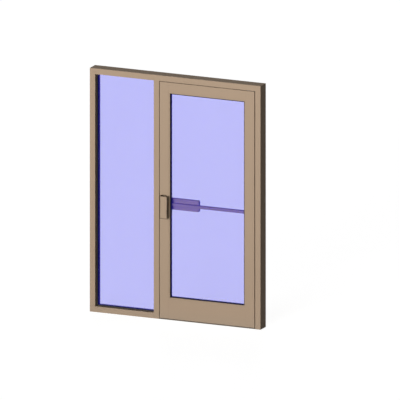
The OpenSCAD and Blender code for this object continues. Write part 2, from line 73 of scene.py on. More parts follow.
PANE_NODES = ("sidelight_pane_outer", "sidelight_pane_inner", "leaf_pane_outer",
              "leaf_pane_inner")

X, Y, Z = 0, 1, 2
STREET = np.array([0.0, -1.0, 0.0])  # direction toward the street side
RUBBER = "black rubber"
WHITE = (1.0, 1.0, 1.0, 1.0)
MID_GREY = (0.5, 0.5, 0.5, 1.0)
FLOAT, COLOUR, VECTOR = "NodeSocketFloat", "NodeSocketColor", "NodeSocketVector"

LINE_SPREAD = 0.22  # how far the drawn lines move the roughness of a metal
LINE_RELIEF = {"Strength": 0.35, "Distance": 0.00004}
METAL_CLOUD = 0.05  # how far the cloudy marks move the colour of a metal
DUST_AND_EDGE_SHADE_DULLS = 0.3  # roughness that full dust or full painted edge shade adds
WAVE_TINT = 0.985  # share of its tint's light that a pane passes where it is thickest

BEAD_POINTS, SEAL_POINTS = 13, 17  # points of the half-round profiles
SCREW_RINGS, SCREW_TURNS = 15, 32
SCREW_HUB = 0.02  # innermost ring of a screw head, as a share of its radius
SCREW_RIM = 0.0002  # height in metres of the head's edge over its seat
RECESS_TURN = math.radians(20.0)
# A pair of screws: its name, the CAD node, the axis that its face looks along, the axis that
# the pair is spread on, and the spread to each side as a share of the node's size there.
SCREW_PAIRS = (("bracket_screws", "crossbar_bracket", Y, X, 0.28),
               ("device_screws", "device_chassis", X, Z, 0.27))
THRESHOLD_SCREWS = 4  # in each of the two rows
THRESHOLD_ENDS = (0.06, 0.16)  # metres from the left and right end to the nearest screws
THRESHOLD_ROW = 0.45  # place of a row on the way from the middle line to the edge

FLOOR_POINTS = 96  # points of the round floor's rim
CLIP_END = 200.0  # metres as far as the camera sees


def linear(red, green, blue):
    """Turns an sRGB colour in 0 to 255 screen steps into the linear numbers that shaders use."""
    steps = np.array([red, green, blue]) / 255.0
    curved = ((steps + 0.055) / 1.055) ** 2.4
    return tuple(np.where(steps <= 0.04045, steps / 12.92, curved).tolist())


def colour(name, description, rgb):
    """A colour property with a default in screen steps."""
    return bpy.props.FloatVectorProperty(
        name=name, description=description, subtype="COLOR", size=3, min=0.0, max=1.0,
        default=linear(*rgb))


def length(name, description, metres):
    """A length property in metres."""
    return bpy.props.FloatProperty(
        name=name, description=description, subtype="DISTANCE", unit="LENGTH", min=0.0,
        default=metres, precision=4)


def share(name, description, value):
    """A plain factor from nought to one."""
    return bpy.props.FloatProperty(
        name=name, description=description, subtype="FACTOR", min=0.0, max=1.0, default=value)


def refraction(name, description, value):
    """An index of refraction."""
    return bpy.props.FloatProperty(
        name=name, description=description, min=1.0, max=2.0, default=value)


def angle(name, description, degrees):
    """An angle property with a default in degrees."""
    return bpy.props.FloatProperty(
        name=name, description=description, subtype="ANGLE", unit="ROTATION",
        default=math.radians(degrees))


def power(name, description, value):
    """A lamp's strength, from nought up."""
    return bpy.props.FloatProperty(name=name, description=description, min=0.0, default=value)


def direction(name, description, toward):
    """A direction as a vector."""
    return bpy.props.FloatVectorProperty(
        name=name, description=description, subtype="DIRECTION", default=toward)


class FinishSettings(bpy.types.PropertyGroup):
    """Colours and gloss of the metals and the rubber."""

    metal: colour("Metal", "Tan anodised finish of frame, leaf and hardware", (171, 149, 127))
    metal_roughness: share(
        "Metal roughness", "Spread of the reflections on the anodised metal", 0.42)
    metal_sheen: share(
        "Metallic share", "How much the anodised film shows the metal under it", 0.03)
    metal_index: refraction(
        "Film index", "Index of refraction of the matt anodised film", 1.06)
    threshold: colour("Threshold", "Mill finish of the threshold", (142, 130, 116))
    steel: colour("Steel", "Pivots, shoes, plungers and screws", (150, 149, 147))
    rubber: colour("Rubber", "Gaskets, beads, seals and setting blocks", (26, 25, 27))
    spacer: colour("Spacer", "Bar between the two panes", (96, 96, 102))


class GlassSettings(bpy.types.PropertyGroup):
    """Tint and gloss of the panes."""

    tint: colour("Tint", "Colour that one pane leaves of white light", (231, 231, 255))
    daylight: colour("Daylight", "Share of the lamps' light that one pane lets in",
                     (252, 252, 253))
    reflection: colour("Reflection", "Colour of the coating where the pane reflects",
                       (60, 50, 255))
    shine: share("Shine level", "Strength of the reflection of a pane", 0.28)
    film: share("Film", "Strength of the blue film that scatters the lamps' light", 0.15)
    film_colour: colour("Film colour", "Colour of that film", (60, 50, 255))
    index: refraction("Index", "Index of refraction of float glass", 1.45)


class FittingSettings(bpy.types.PropertyGroup):
    """Sizes of the beads, seals and screws."""

    bead_out: length("Bead", "How far a gasket bead stands past the sightline", 0.008)
    seal_out: length("Seal", "How far a door seal stands out of its stop", 0.0045)
    seal_half_w: length("Seal half width", "Half the width of a door seal", 0.0035)
    screw_r: length("Screw radius", "Head radius of the screws", 0.0042)
    screw_dome: length("Screw dome", "Height of a screw head over its seat", 0.0009)
    recess_depth: length("Recess", "Depth of the cross recess in a screw head", 0.0011)
    recess_w: length("Recess width", "Width of one arm of the cross recess", 0.0011)
    recess_r: length("Recess reach", "Length of one arm of the cross recess", 0.0025)


class StudioSettings(bpy.types.PropertyGroup):
    """Camera, floor and lamps."""

    azimuth: angle("Azimuth", "Camera's turn to the right of straight ahead", 24.0)
    elevation: angle("Elevation", "Camera's height angle over the level", 14.0)
    view_w: length("View width", "Width that the picture takes in", 3.48)
    aim_x: length(
        "Aim across", "Point on the middle plane of the frame at the picture's middle", 0.2114)
    aim_z: length("Aim height", "Height of the point at the picture's middle", 1.0901)
    distance: length("Distance", "From that point to the camera", 9.0)
    floor_r: length("Floor radius", "Radius of the round floor", 40.0)
    ambient: share("Ambient", "Light of the surroundings on matt surfaces", 0.015)
    floor_shade: share(
        "Floor shade", "Share of the lamps' light that the floor gives back", 0.35)
    floor_glow: share("Floor glow", "Share of the floor's white that needs no lamp", 0.93)
    key: power("Key", "Strength of the lamp in front", 3.6)
    key_from: direction("Key from", "Direction toward the lamp in front", (-0.01, -0.99, 0.12))
    rear: power("Rear", "Strength of the lamp behind, on the left", 4.4)
    rear_from: direction("Rear from", "Direction toward the lamp behind", (-0.42, 0.907, 0.03))
    softness: angle("Softness", "Angle that the lamp in front seems wide", 30.0)
    rear_softness: angle("Rear softness", "Angle that the lamp behind seems wide", 20.0)


GROUPS = {
    "entrance_finish": FinishSettings,
    "entrance_glass": GlassSettings,
    "entrance_fittings": FittingSettings,
    "entrance_studio": StudioSettings,
}


def rgba(value):
    """A colour with full opacity."""
    return (*value, 1.0)


def set_sockets(node, sockets):
    """Sets the values of a node's input sockets, given by name or number."""
    for socket, value in sockets.items():
        node.inputs[socket].default_value = value


def new_node(tree, kind, place, sockets=None, **values):
    """Adds a shader node and sets its properties, then its sockets."""
    node = tree.nodes.new(kind)
    node.location = place
    for key, value in values.items():
        setattr(node, key, value)
    set_sockets(node, sockets or {})
    return node


def math_node(tree, operation, place, sockets=None, clamp=False):
    """A node that works out one number."""
    return new_node(
        tree, "ShaderNodeMath", place, sockets, operation=operation, use_clamp=clamp)


def new_group(name, inputs, outputs):
    """An empty shader node group with named sockets, and its two end nodes."""
    group = bpy.data.node_groups.new(name, "ShaderNodeTree")
    for label, kind, default in inputs:
        socket = group.interface.new_socket(name=label, in_out="INPUT", socket_type=kind)
        if default is not None:
            socket.default_value = default
    for label, kind in outputs:
        group.interface.new_socket(name=label, in_out="OUTPUT", socket_type=kind)
    start = new_node(group, "NodeGroupInput", (-900, 0))
    return group, start, new_node(group, "NodeGroupOutput", (900, 0))


def die_lines_group():
    """Fine lines that an extrusion die or a brush leaves: noise drawn out along the piece."""
    name = "die lines"
    if name in bpy.data.node_groups:
        return bpy.data.node_groups[name]
    group, start, end = new_group(
        name,
        [("Vector", VECTOR, None), ("Colour", COLOUR, MID_GREY), ("Contrast", FLOAT, 0.1),
         ("Roughness", FLOAT, 0.4), ("Spread", FLOAT, 0.1)],
        [("Colour", COLOUR), ("Roughness", FLOAT), ("Height", FLOAT)])
    link = group.links.new
    fine = new_node(group, "ShaderNodeTexNoise", (-620, 160),
                    {"Scale": 1.0, "Detail": 5.0, "Roughness": 0.62})
    wide = new_node(group, "ShaderNodeTexNoise", (-620, -160),
                    {"Scale": 0.11, "Detail": 2.0, "Roughness": 0.5})
    both = new_node(group, "ShaderNodeMix", (-400, 0), {"Factor": 0.35}, data_type="FLOAT")
    centred = math_node(group, "SUBTRACT", (-220, 0), {1: 0.5})
    shade = math_node(group, "MULTIPLY_ADD", (-40, 120), {2: 1.0})
    tone = new_node(group, "ShaderNodeVectorMath", (320, 160), operation="SCALE")
    rough = math_node(group, "MULTIPLY_ADD", (160, -120), clamp=True)
    link(start.outputs["Vector"], fine.inputs["Vector"])
    link(start.outputs["Vector"], wide.inputs["Vector"])
    link(fine.outputs["Fac"], both.inputs[2])
    link(wide.outputs["Fac"], both.inputs[3])
    link(both.outputs[0], centred.inputs[0])
    link(centred.outputs[0], shade.inputs[0])
    link(start.outputs["Contrast"], shade.inputs[1])
    link(start.outputs["Colour"], tone.inputs[0])
    link(shade.outputs[0], tone.inputs["Scale"])
    link(centred.outputs[0], rough.inputs[0])
    link(start.outputs["Spread"], rough.inputs[1])
    link(start.outputs["Roughness"], rough.inputs[2])
    link(tone.outputs[0], end.inputs["Colour"])
    link(rough.outputs[0], end.inputs["Roughness"])
    link(both.outputs[0], end.inputs["Height"])
    return group


def handling_group():
    """Cloudy marks of handling and weather, and dust that gathers low down over the floor."""
    name = "handling and dust"
    if name in bpy.data.node_groups:
        return bpy.data.node_groups[name]
    group, start, end = new_group(
        name,
        [("Vector", VECTOR, None), ("Colour", COLOUR, MID_GREY), ("Cloud", FLOAT, 0.05),
         ("Dust", FLOAT, 0.15), ("Dust height", FLOAT, 0.18),
         ("Dust colour", COLOUR, (0.3, 0.27, 0.23, 1.0))],
        [("Colour", COLOUR), ("Mask", FLOAT)])
    link = group.links.new
    cloud = new_node(group, "ShaderNodeTexNoise", (-640, 180),
                     {"Scale": 3.1, "Detail": 6.0, "Roughness": 0.6, "Distortion": 0.4})
    centred = math_node(group, "SUBTRACT", (-440, 180), {1: 0.5})
    shade = math_node(group, "MULTIPLY_ADD", (-260, 180), {2: 1.0})
    tone = new_node(group, "ShaderNodeVectorMath", (-60, 220), operation="SCALE")
    parts = new_node(group, "ShaderNodeSeparateXYZ", (-640, -160))
    ratio = math_node(group, "DIVIDE", (-440, -160), clamp=True)
    low = math_node(group, "SUBTRACT", (-260, -160), {0: 1.0}, clamp=True)
    squared = math_node(group, "POWER", (-80, -160), {1: 2.0})
    patchy = math_node(group, "MULTIPLY", (100, -100))
    mask = math_node(group, "MULTIPLY", (280, -60), clamp=True)
    dusty = new_node(group, "ShaderNodeMix", (560, 120), data_type="RGBA")
    link(start.outputs["Vector"], cloud.inputs["Vector"])
    link(cloud.outputs["Fac"], centred.inputs[0])
    link(centred.outputs[0], shade.inputs[0])
    link(start.outputs["Cloud"], shade.inputs[1])
    link(start.outputs["Colour"], tone.inputs[0])
    link(shade.outputs[0], tone.inputs["Scale"])
    link(start.outputs["Vector"], parts.inputs[0])
    link(parts.outputs["Z"], ratio.inputs[0])
    link(start.outputs["Dust height"], ratio.inputs[1])
    link(ratio.outputs[0], low.inputs[1])
    link(low.outputs[0], squared.inputs[0])
    link(squared.outputs[0], patchy.inputs[0])
    link(cloud.outputs["Fac"], patchy.inputs[1])
    link(patchy.outputs[0], mask.inputs[0])
    link(start.outputs["Dust"], mask.inputs[1])
    link(mask.outputs[0], dusty.inputs[0])
    link(tone.outputs[0], dusty.inputs[6])
    link(start.outputs["Dust colour"], dusty.inputs[7])
    link(dusty.outputs[2], end.inputs["Colour"])
    link(mask.outputs[0], end.inputs["Mask"])
    return group


def edge_shade_group():
    """Painted shade that darkens the arrises and inner corners: the surface normal set against
    the mean normal within reach of the edge, broken up by a noise."""
    name = "arris grime"
    if name in bpy.data.node_groups:
        return bpy.data.node_groups[name]
    group, start, end = new_group(
        name,
        [("Vector", VECTOR, None), ("Colour", COLOUR, MID_GREY), ("Reach", FLOAT, 0.003),
         ("Depth", FLOAT, 0.5), ("Unshaded at", FLOAT, 0.985), ("Full at", FLOAT, 0.78)],
        [("Colour", COLOUR), ("Mask", FLOAT)])
    link = group.links.new
    rounded = new_node(group, "ShaderNodeBevel", (-640, 120), samples=6)
    surface = new_node(group, "ShaderNodeNewGeometry", (-640, -80))
    agree = new_node(group, "ShaderNodeVectorMath", (-440, 60), operation="DOT_PRODUCT")
    edge = new_node(group, "ShaderNodeMapRange", (-240, 60), {"To Min": 0.0, "To Max": 1.0})
    patch = new_node(group, "ShaderNodeTexNoise", (-440, -260),
                     {"Scale": 22.0, "Detail": 4.0, "Roughness": 0.6})
    broken_up = new_node(group, "ShaderNodeMapRange", (-240, -260),
                    {"From Min": 0.3, "From Max": 0.6, "To Min": 0.7, "To Max": 1.0})
    mask = math_node(group, "MULTIPLY", (-40, 0))
    amount = math_node(group, "MULTIPLY", (140, 0))
    left = math_node(group, "SUBTRACT", (320, 0), {0: 1.0})
    tone = new_node(group, "ShaderNodeVectorMath", (520, 100), operation="SCALE")
    link(start.outputs["Reach"], rounded.inputs["Radius"])
    link(rounded.outputs["Normal"], agree.inputs[0])
    link(surface.outputs["True Normal"], agree.inputs[1])
    link(agree.outputs["Value"], edge.inputs["Value"])
    link(start.outputs["Unshaded at"], edge.inputs["From Min"])
    link(start.outputs["Full at"], edge.inputs["From Max"])
    link(start.outputs["Vector"], patch.inputs["Vector"])
    link(patch.outputs["Fac"], broken_up.inputs["Value"])
    link(edge.outputs["Result"], mask.inputs[0])
    link(broken_up.outputs["Result"], mask.inputs[1])
    link(mask.outputs[0], amount.inputs[0])
    link(start.outputs["Depth"], amount.inputs[1])
    link(amount.outputs[0], left.inputs[1])
    link(start.outputs["Colour"], tone.inputs[0])
    link(left.outputs[0], tone.inputs["Scale"])
    link(tone.outputs[0], end.inputs["Colour"])
    link(mask.outputs[0], end.inputs["Mask"])
    return group


def new_material(name):
    """A material with an empty tree, its Principled shader and its output."""
    material = bpy.data.materials.new(name)
    material.use_nodes = True
    tree = material.node_tree
    tree.nodes.clear()
    shader = new_node(tree, "ShaderNodeBsdfPrincipled", (600, 0))
    output = new_node(tree, "ShaderNodeOutputMaterial", (900, 0))
    tree.links.new(shader.outputs["BSDF"], output.inputs["Surface"])
    return material, tree, shader, output


def metal_material(name, base, roughness, lines, contrast, metallic, index, dust=0.35,
                   edge_shade=0.35, edge_shade_reach=0.0015, edge_shade_span=(0.985, 0.78)):
    """Metal with lines along one direction and a painted shade along its edges. lines are the
    counts of noise cells per metre on X, Y and Z, and edge_shade_span is how far the normals
    agree where the painted shade at an edge starts and where it is full."""
    material, tree, shader, _ = new_material(name)
    link = tree.links.new
    place = new_node(tree, "ShaderNodeTexCoord", (-900, 0))
    drawn = new_node(tree, "ShaderNodeMapping", (-700, 0), {"Scale": lines})
    grain = new_node(
        tree, "ShaderNodeGroup", (-420, 0),
        {"Colour": rgba(base), "Contrast": contrast, "Roughness": roughness,
         "Spread": LINE_SPREAD},
        node_tree=die_lines_group())
    marks = new_node(tree, "ShaderNodeGroup", (-120, 0), {"Cloud": METAL_CLOUD, "Dust": dust},
                     node_tree=handling_group())
    relief = new_node(tree, "ShaderNodeBump", (300, -260), LINE_RELIEF)
    # Painted shade: darkens the base colour along the arrises and in the inner corners.
    arris = new_node(
        tree, "ShaderNodeGroup", (120, 120),
        {"Reach": edge_shade_reach, "Depth": edge_shade, "Unshaded at": edge_shade_span[0],
         "Full at": edge_shade_span[1]},
        node_tree=edge_shade_group())
    dusty = math_node(tree, "MULTIPLY_ADD", (120, -80), {1: DUST_AND_EDGE_SHADE_DULLS})
    dull = math_node(tree, "MULTIPLY_ADD", (340, -80), {1: DUST_AND_EDGE_SHADE_DULLS * edge_shade}, clamp=True)
    link(place.outputs["Object"], drawn.inputs["Vector"])
    link(drawn.outputs["Vector"], grain.inputs["Vector"])
    link(place.outputs["Object"], marks.inputs["Vector"])
    link(grain.outputs["Colour"], marks.inputs["Colour"])
    link(place.outputs["Object"], arris.inputs["Vector"])
    link(marks.outputs["Colour"], arris.inputs["Colour"])
    link(marks.outputs["Mask"], dusty.inputs[0])
    link(grain.outputs["Roughness"], dusty.inputs[2])
    link(arris.outputs["Mask"], dull.inputs[0])
    link(dusty.outputs[0], dull.inputs[2])
    link(arris.outputs["Colour"], shader.inputs["Base Color"])
    link(dull.outputs[0], shader.inputs["Roughness"])
    link(grain.outputs["Height"], relief.inputs["Height"])
    link(relief.outputs["Normal"], shader.inputs["Normal"])
    set_sockets(shader, {"Metallic": metallic, "IOR": index})
    return material


def rubber_material(name, base):
    """Matt rubber with a fine grain and pale bloom in patches."""
    material, tree, shader, _ = new_material(name)
    link = tree.links.new
    place = new_node(tree, "ShaderNodeTexCoord", (-900, 0))
    pores = new_node(tree, "ShaderNodeTexNoise", (-640, -220),
                     {"Scale": 900.0, "Detail": 3.0, "Roughness": 0.6})
    marks = new_node(tree, "ShaderNodeGroup", (-420, 60),
                     {"Colour": rgba(base), "Cloud": 0.5, "Dust": 0.3},
                     node_tree=handling_group())
    matt = new_node(tree, "ShaderNodeMapRange", (-160, -160), {"To Min": 0.62, "To Max": 0.86})
    relief = new_node(tree, "ShaderNodeBump", (200, -300),
                      {"Strength": 0.3, "Distance": 0.00008})
    link(place.outputs["Object"], pores.inputs["Vector"])
    link(place.outputs["Object"], marks.inputs["Vector"])
    link(marks.outputs["Colour"], shader.inputs["Base Color"])
    link(pores.outputs["Fac"], matt.inputs["Value"])
    link(matt.outputs["Result"], shader.inputs["Roughness"])
    link(pores.outputs["Fac"], relief.inputs["Height"])
    link(relief.outputs["Normal"], shader.inputs["Normal"])
    set_sockets(shader, {"Specular IOR Level": 0.25})
    return material


def glass_material(name, glass):
    """A tinted pane that lamps shine through, with a trace of the rollers' waviness in its
    normal and its tint."""
    material, tree, shader, output = new_material(name)
    link = tree.links.new
    place = new_node(tree, "ShaderNodeTexCoord", (-700, 0))
    wave = new_node(tree, "ShaderNodeTexNoise", (-460, -120),
                    {"Scale": 2.4, "Detail": 1.0, "Roughness": 0.4})
    relief = new_node(tree, "ShaderNodeBump", (-160, -200),
                      {"Strength": 0.006, "Distance": 0.002})
    thick = rgba(tuple(WAVE_TINT * part for part in glass.tint))
    tint = new_node(tree, "ShaderNodeMix", (-160, 120), {6: rgba(glass.tint), 7: thick},
                    data_type="RGBA")
    set_sockets(shader, {
        "Roughness": 0.0, "Metallic": 0.0, "Transmission Weight": 1.0, "IOR": glass.index,
        "Specular IOR Level": glass.shine, "Specular Tint": rgba(glass.reflection),
        "Sheen Weight": glass.film, "Sheen Tint": rgba(glass.film_colour),
        "Sheen Roughness": 1.0})
    through = new_node(tree, "ShaderNodeBsdfTransparent", (600, -420),
                       {"Color": rgba(glass.daylight)})
    path = new_node(tree, "ShaderNodeLightPath", (400, 420))
    matt = math_node(tree, "MAXIMUM", (600, 420))
    pane = new_node(tree, "ShaderNodeMixShader", (900, 200))
    output.location = (1150, 0)
    link(place.outputs["Object"], wave.inputs["Vector"])
    link(wave.outputs["Fac"], relief.inputs["Height"])
    link(wave.outputs["Fac"], tint.inputs[0])
    link(tint.outputs[2], shader.inputs["Base Color"])
    link(relief.outputs["Normal"], shader.inputs["Normal"])
    link(path.outputs["Is Shadow Ray"], matt.inputs[0])
    link(path.outputs["Is Diffuse Ray"], matt.inputs[1])
    link(matt.outputs[0], pane.inputs[0])
    link(shader.outputs["BSDF"], pane.inputs[1])
    link(through.outputs["BSDF"], pane.inputs[2])
    link(pane.outputs["Shader"], output.inputs["Surface"])
    return material


def seen_white(tree, place):
    """One where the camera, a reflection or a look through glass meets the surface, nought for
    matt light."""
    across, down = place
    link = tree.links.new
    path = new_node(tree, "ShaderNodeLightPath", place)
    seen = math_node(tree, "MAXIMUM", (across + 200, down))
    also = math_node(tree, "MAXIMUM", (across + 380, down))
    bounced = math_node(tree, "LESS_THAN", (across + 380, down - 200), {1: 0.5})
    both = math_node(tree, "MULTIPLY", (across + 560, down))
    link(path.outputs["Is Camera Ray"], seen.inputs[0])
    link(path.outputs["Is Glossy Ray"], seen.inputs[1])
    link(seen.outputs[0], also.inputs[0])
    link(path.outputs["Is Transmission Ray"], also.inputs[1])
    link(path.outputs["Diffuse Depth"], bounced.inputs[0])
    link(also.outputs[0], both.inputs[0])
    link(bounced.outputs[0], both.inputs[1])
    return both.outputs[0]


def dress(nodes, material):
    """Gives CAD nodes a material. Their meshes stay as they are."""
    for name in nodes:
        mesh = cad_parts[name].data
        mesh.materials.clear()
        mesh.materials.append(material)


def box_of(node):
    """Lowest and highest corners of a CAD node as two arrays."""
    low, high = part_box(node)
    return np.array(low), np.array(high)


def leaf_stop_width():
    """Face width of the leaf's glass stops: from the low X side of their mesh to the next points
    across."""
    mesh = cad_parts["outer_glass_stops"].data
    points = np.empty(len(mesh.vertices) * 3)
    mesh.vertices.foreach_get("co", points)
    x = np.unique(np.round(points.reshape(-1, 3)[:, X], 5))
    return float(x[1] - x[0])


def new_piece(name, points, faces, material, body):
    """Makes an object from an array of points and a list of faces, and fixes it to a body."""
    mesh = bpy.data.meshes.new(name)
    mesh.from_pydata(points.reshape(-1, 3).tolist(), [], faces)
    mesh.update()
    mesh.materials.append(material)
    piece = bpy.data.objects.new(name, mesh)
    bpy.context.scene.collection.objects.link(piece)
    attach(piece, body)
    return piece


def rubber_piece(name, points, faces, body):
    """A new piece of the gaskets' rubber."""
    return new_piece(name, points, faces, bpy.data.materials[RUBBER], body)


def grid_faces(rows, columns, first=0, flip=False):
    """Quads of a grid of points that closes on itself along its columns, as an array of corner
    numbers that start at first."""
    row, column = np.meshgrid(np.arange(rows - 1), np.arange(columns), indexing="ij")
    after = (column + 1) % columns
    corners = np.stack([row * columns + column, row * columns + after,
                        (row + 1) * columns + after, (row + 1) * columns + column], axis=-1)
    corners = corners.reshape(-1, 4) + first
    return corners[:, ::-1] if flip else corners


def bead_ring(name, xs, zs, y_mid, half_t, out, body):
    """A rubber bead round a rectangle: for each point of a half-round profile the rectangle is
    drawn in by out * sin(t), at depth y_mid + half_t * cos(t), with t from nought to a half
    turn. One loop of four mitred corners per point of the profile, closed by a flat back."""
    t = np.linspace(0.0, math.pi, BEAD_POINTS)
    inward, depth = (out * np.sin(t))[:, None], (y_mid + half_t * np.cos(t))[:, None]
    at_low_x = np.array([[True, False, False, True]])
    at_low_z = np.array([[True, True, False, False]])
    x = np.where(at_low_x, xs[0] + inward, xs[1] - inward)
    z = np.where(at_low_z, zs[0] + inward, zs[1] - inward)
    points = np.stack([x, np.broadcast_to(depth, x.shape), z], axis=-1)
    faces = grid_faces(BEAD_POINTS, 4).tolist()
    rounded = len(faces)
    faces += [[rounded + k, rounded + (k + 1) % 4, (k + 1) % 4, k] for k in range(4)]
    piece = rubber_piece(name, points, faces, body)
    for polygon in piece.data.polygons[:rounded]:
        polygon.use_smooth = True


def seal_strip(name, start, end, across, half_w, height, body):
    """A door seal: a half-round profile of half-width half_w and height carried straight from
    start to end. A profile point is across * half_w * cos(t) + STREET * height * sin(t), with t
    from nought to a half turn."""
    t = np.linspace(0.0, math.pi, SEAL_POINTS)
    profile = np.cos(t)[:, None] * half_w * across + np.sin(t)[:, None] * height * STREET
    points = np.stack([start + profile, end + profile])
    faces = grid_faces(2, SEAL_POINTS).tolist()
    faces += [list(range(SEAL_POINTS))[::-1], list(range(SEAL_POINTS, 2 * SEAL_POINTS))]
    return rubber_piece(name, points, faces, body)


def screw_heads(name, centres, normal, fittings, material, body):
    """Screw heads as one surface per head over polar rings: at distance r from the middle a
    dome stands dome * (1 - (r / R)^2) over its rim, less a cross recess where the distance to
    either arm's axis is under half an arm's width and r is within the arm."""
    side = np.cross(normal, [0.0, 0.0, 1.0] if abs(normal[Z]) < 0.5 else [1.0, 0.0, 0.0])
    side /= np.linalg.norm(side)
    up = np.cross(side, normal)
    radius = np.linspace(SCREW_HUB, 1.0, SCREW_RINGS)[:, None] * fittings.screw_r
    turn = (np.arange(SCREW_TURNS) * 2.0 * math.pi / SCREW_TURNS)[None] + RECESS_TURN
    a, b = radius * np.cos(turn), radius * np.sin(turn)
    arm = np.minimum(np.abs(radius * np.cos(turn - RECESS_TURN)),
                     np.abs(radius * np.sin(turn - RECESS_TURN)))
    recess = (arm < fittings.recess_w / 2.0) & (radius < fittings.recess_r)
    rise = fittings.screw_dome * (1.0 - (radius / fittings.screw_r) ** 2) + SCREW_RIM
    rise = np.where(recess, rise - fittings.recess_depth, rise)
    rise[-1] = 0.0
    head = a[..., None] * side + b[..., None] * up + rise[..., None] * normal
    points = np.concatenate([head.reshape(-1, 3) + np.array(centre) for centre in centres])
    size = SCREW_RINGS * SCREW_TURNS
    faces = []
    for first in range(0, len(centres) * size, size):
        faces += grid_faces(SCREW_RINGS, SCREW_TURNS, first, flip=True).tolist()
        faces.append(list(range(first, first + SCREW_TURNS))[::-1])
        faces.append(list(range(first + size - SCREW_TURNS, first + size)))
    new_piece(name, points, faces, material, body)


class ENTRANCE_OT_finish_metal(bpy.types.Operator):
    """Gives the anodised tubes, the hardware, the threshold and the steel parts their metals"""

    bl_idname = "entrance.finish_metal"
    bl_label = "Finish the metal"

    def execute(self, context):
        finish = context.scene.entrance_finish
        anodised = {"base": finish.metal, "roughness": finish.metal_roughness,
                    "metallic": finish.metal_sheen, "index": finish.metal_index}
        dress(UPRIGHT_NODES, metal_material(
            "tan anodised upright", lines=(520.0, 520.0, 3.0), contrast=0.1, **anodised))
        dress(LEVEL_NODES, metal_material(
            "tan anodised level", lines=(3.0, 520.0, 520.0), contrast=0.1, **anodised))
        # The hardware and the pull get a wider, deeper painted edge shade: a dark outline round
        # each piece.
        dress(HARDWARE_NODES, metal_material(
            "tan anodised hardware", lines=(8.0, 700.0, 700.0), contrast=0.12,
            edge_shade=0.75, edge_shade_reach=0.005, edge_shade_span=(0.996, 0.9), **anodised))
        dress(PULL_NODES, metal_material(
            "tan anodised pull", lines=(700.0, 700.0, 8.0), contrast=0.12,
            edge_shade=0.95, edge_shade_reach=0.011, edge_shade_span=(0.999, 0.975), **anodised))
        dress(THRESHOLD_NODES, metal_material(
            "mill finish threshold", base=finish.threshold, roughness=0.36,
            lines=(4.0, 600.0, 600.0), contrast=0.25, metallic=0.3, index=1.2, dust=0.6))
        dress(STEEL_NODES, metal_material(
            "brushed steel", base=finish.steel, roughness=0.3,
            lines=(600.0, 600.0, 12.0), contrast=0.2, metallic=0.9, index=1.5, dust=0.2))
        dress(SPACER_NODES, metal_material(
            "spacer bar", base=finish.spacer, roughness=0.5,
            lines=(60.0, 400.0, 60.0), contrast=0.2, metallic=0.6, index=1.5, dust=0.0))
        return {"FINISHED"}


class ENTRANCE_OT_finish_rubber(bpy.types.Operator):
    """Gives the gaskets, seals and setting blocks their rubber"""

    bl_idname = "entrance.finish_rubber"
    bl_label = "Finish the rubber"

    def execute(self, context):
        dress(RUBBER_NODES, rubber_material(RUBBER, context.scene.entrance_finish.rubber))
        return {"FINISHED"}


class ENTRANCE_OT_glaze(bpy.types.Operator):
    """Gives the panes their tinted glass"""

    bl_idname = "entrance.glaze"
    bl_label = "Glaze the openings"

    def execute(self, context):
        dress(PANE_NODES, glass_material("tinted glass", context.scene.entrance_glass))
        return {"FINISHED"}


class ENTRANCE_OT_fit_beads(bpy.types.Operator):
    """Runs a rubber bead round each side of the sidelight and of the leaf's glass"""

    bl_idname = "entrance.fit_beads"
    bl_label = "Fit the gasket beads"

    def execute(self, context):
        out = context.scene.entrance_fittings.bead_out
        sill_low, sill_high = box_of("sidelight_sill")
        head_low, _ = box_of("sidelight_head")
        stops_low, stops_high = box_of("outer_glass_stops")
        stop_w = leaf_stop_width()
        leaf_low, leaf_high = stops_low + stop_w, stops_high - stop_w
        sightlines = (
            ("sidelight", "frame", (sill_low[X], sill_high[X]), (sill_high[Z], head_low[Z])),
            ("leaf", "door", (leaf_low[X], leaf_high[X]), (leaf_low[Z], leaf_high[Z])),
        )
        for glass, body, xs, zs in sightlines:
            for side in ("outer", "inner"):
                low, high = box_of(f"{glass}_gasket_{side}")
                bead_ring(f"{glass}_bead_{side}", xs, zs, (low[Y] + high[Y]) / 2.0,
                          (high[Y] - low[Y]) / 2.0, out, body)
        return {"FINISHED"}


class ENTRANCE_OT_fit_seals(bpy.types.Operator):
    """Fits half-round weather seals on the door stops in place of the plain strips"""

    bl_idname = "entrance.fit_seals"
    bl_label = "Fit the door seals"

    def execute(self, context):
        fittings = context.scene.entrance_fittings
        half_w, height = fittings.seal_half_w, fittings.seal_out
        lock_low, lock_high = box_of("lock_door_stop")
        head_low, head_high = box_of("head_door_stop")
        strip_low, _ = box_of("stop_seals")
        face_y = lock_low[Y]
        lock_x = strip_low[X] + half_w
        # The head's seal lies as far from the free edge of its stop as the lock side's seal.
        head_z = head_low[Z] + (lock_high[X] - strip_low[X]) - half_w
        upright = seal_strip(
            "lock_seal", np.array([lock_x, face_y, strip_low[Z]]),
            np.array([lock_x, face_y, lock_high[Z]]), np.array([-1.0, 0.0, 0.0]),
            half_w, height, "frame")
        seal_strip(
            "head_seal", np.array([head_low[X], face_y, head_z]),
            np.array([head_high[X], face_y, head_z]), np.array([0.0, 0.0, 1.0]),
            half_w, height, "frame")
        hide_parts("stop_seals")
        return {"FINISHED"}


